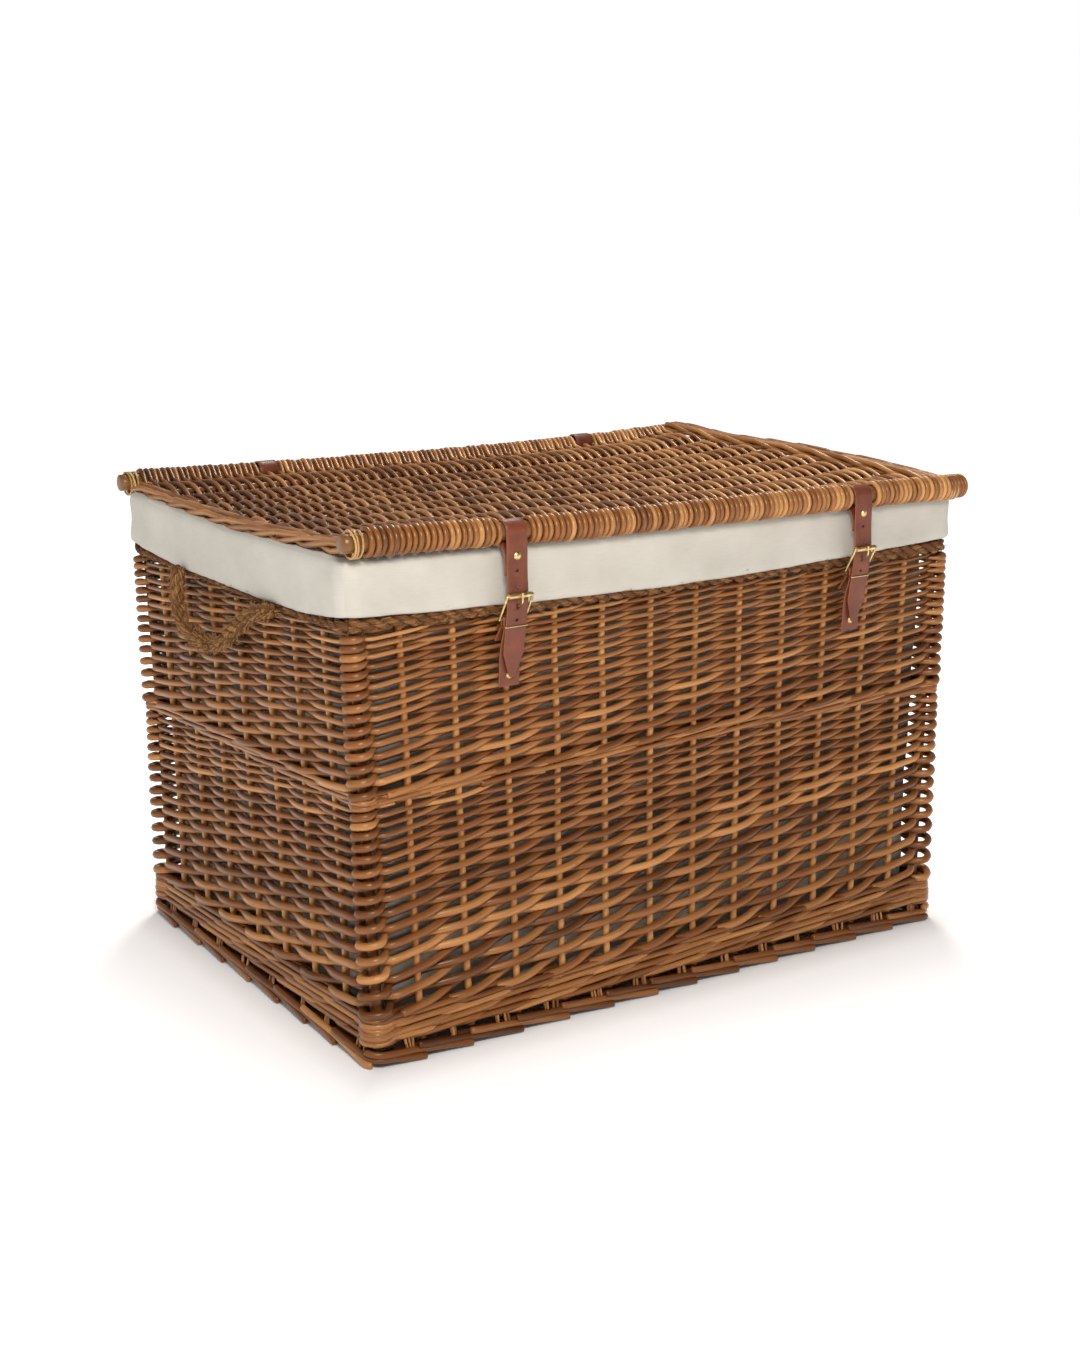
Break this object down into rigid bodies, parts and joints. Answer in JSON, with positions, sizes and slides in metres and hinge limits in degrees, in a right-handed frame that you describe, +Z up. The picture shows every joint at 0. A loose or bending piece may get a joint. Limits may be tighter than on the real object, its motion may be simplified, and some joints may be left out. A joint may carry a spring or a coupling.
{
  "type": "wicker storage trunk",
  "caption": "Rectangular woven willow trunk with a cotton liner cuff, a flat hinged woven lid, leather buckle straps and rope handles at the ends.",
  "frame": {"origin": "centre of the underside, on the floor", "axes": "+X along the trunk to the right seen from the front, +Y to the back where the lid is hinged, +Z up"},
  "size_m": [0.879, 0.5958, 0.5675],
  "materials": {
    "willow": "buff-boiled willow, satin",
    "stick": "peeled willow, satin",
    "cane": "straw-coloured cane, satin",
    "rope": "twisted seagrass, rough",
    "cotton": "unbleached cotton, matt",
    "leather": "reddish brown leather, semi-matt",
    "brass": "polished brass"
  },
  "bodies": {
    "basket": {"floor_sticks": "stick", "floor_weave": "willow", "foot_border": "willow", "bottom_wale": "willow", "lower_weave": "willow", "mid_wale": "willow", "upper_weave": "willow", "rope_band": "rope", "top_wale": "willow", "rim_border": "willow", "corner_posts": "stick", "front_stakes": "stick", "back_stakes": "stick", "left_stakes": "stick", "right_stakes": "stick", "cotton_liner": "cotton", "hinge_rivets": "brass", "hinge_tab_left": "leather", "hinge_tab_right": "leather", "lower_strap_left": "leather", "lower_strap_right": "leather", "lower_rivets_left": "brass", "lower_rivets_right": "brass", "keeper_left": "brass", "keeper_right": "brass"},
    "lid": {"front_stick": "stick", "back_stick": "stick", "lid_weave": "willow", "lid_stakes": "stick", "left_end_border": "willow", "right_end_border": "willow", "corner_lashings": "cane", "strap_loop_left": "leather", "strap_loop_right": "leather", "strap_rivet_left": "brass", "strap_rivet_right": "brass"},
    "strap_end_left": {"strap_tail_left": "leather"},
    "buckle_left": {"buckle_frame_left": "brass"},
    "buckle_roller_left": {"roller_left": "brass"},
    "buckle_prong_left": {"prong_left": "brass"},
    "rope_handle_left": {"handle_left": "rope"},
    "strap_end_right": {"strap_tail_right": "leather"},
    "buckle_right": {"buckle_frame_right": "brass"},
    "buckle_roller_right": {"roller_right": "brass"},
    "buckle_prong_right": {"prong_right": "brass"},
    "rope_handle_right": {"handle_right": "rope"}
  },
  "joints": [
    {"name": "lid_hinge", "type": "hinge", "parent": "basket", "child": "lid", "pos_m": [0, 0.2844, 0.554], "axis": [-1, 0, 0], "range_deg": [0, 110]},
    {"name": "strap_flex_left", "type": "hinge", "parent": "lid", "child": "strap_end_left", "pos_m": [-0.227, -0.2848, 0.511], "axis": [-1, 0, 0], "range_deg": [-95, 0]},
    {"name": "buckle_swing_left", "type": "hinge", "parent": "basket", "child": "buckle_left", "pos_m": [-0.227, -0.2771, 0.467], "axis": [1, 0, 0], "range_deg": [0, 56]},
    {"name": "prong_swing_left", "type": "hinge", "parent": "buckle_left", "child": "buckle_prong_left", "pos_m": [-0.227, -0.2771, 0.467], "axis": [1, 0, 0], "range_deg": [0, 39]},
    {"name": "roller_spin_left", "type": "hinge", "parent": "buckle_left", "child": "buckle_roller_left", "pos_m": [-0.227, -0.2924, 0.494], "axis": [1, 0, 0], "continuous": true},
    {"name": "strap_flex_right", "type": "hinge", "parent": "lid", "child": "strap_end_right", "pos_m": [0.254, -0.2848, 0.511], "axis": [-1, 0, 0], "range_deg": [-95, 0]},
    {"name": "buckle_swing_right", "type": "hinge", "parent": "basket", "child": "buckle_right", "pos_m": [0.254, -0.2771, 0.467], "axis": [1, 0, 0], "range_deg": [0, 56]},
    {"name": "prong_swing_right", "type": "hinge", "parent": "buckle_right", "child": "buckle_prong_right", "pos_m": [0.254, -0.2771, 0.467], "axis": [1, 0, 0], "range_deg": [0, 39]},
    {"name": "roller_spin_right", "type": "hinge", "parent": "buckle_right", "child": "buckle_roller_right", "pos_m": [0.254, -0.2924, 0.494], "axis": [1, 0, 0], "continuous": true},
    {"name": "handle_lift_left", "type": "hinge", "parent": "basket", "child": "rope_handle_left", "pos_m": [-0.4305, 0.0054, 0.479], "axis": [0, 1, 0], "range_deg": [0, 150]},
    {"name": "handle_lift_right", "type": "hinge", "parent": "basket", "child": "rope_handle_right", "pos_m": [0.4305, 0.0054, 0.479], "axis": [0, -1, 0], "range_deg": [0, 150]}
  ],
  "couplings": [
    {"joint": "strap_flex_left", "follows": "lid_hinge", "ratio": -0.85},
    {"joint": "buckle_swing_left", "follows": "lid_hinge", "ratio": 0.5},
    {"joint": "prong_swing_left", "follows": "lid_hinge", "ratio": 0.35},
    {"joint": "strap_flex_right", "follows": "lid_hinge", "ratio": -0.85},
    {"joint": "buckle_swing_right", "follows": "lid_hinge", "ratio": 0.5},
    {"joint": "prong_swing_right", "follows": "lid_hinge", "ratio": 0.35}
  ]
}
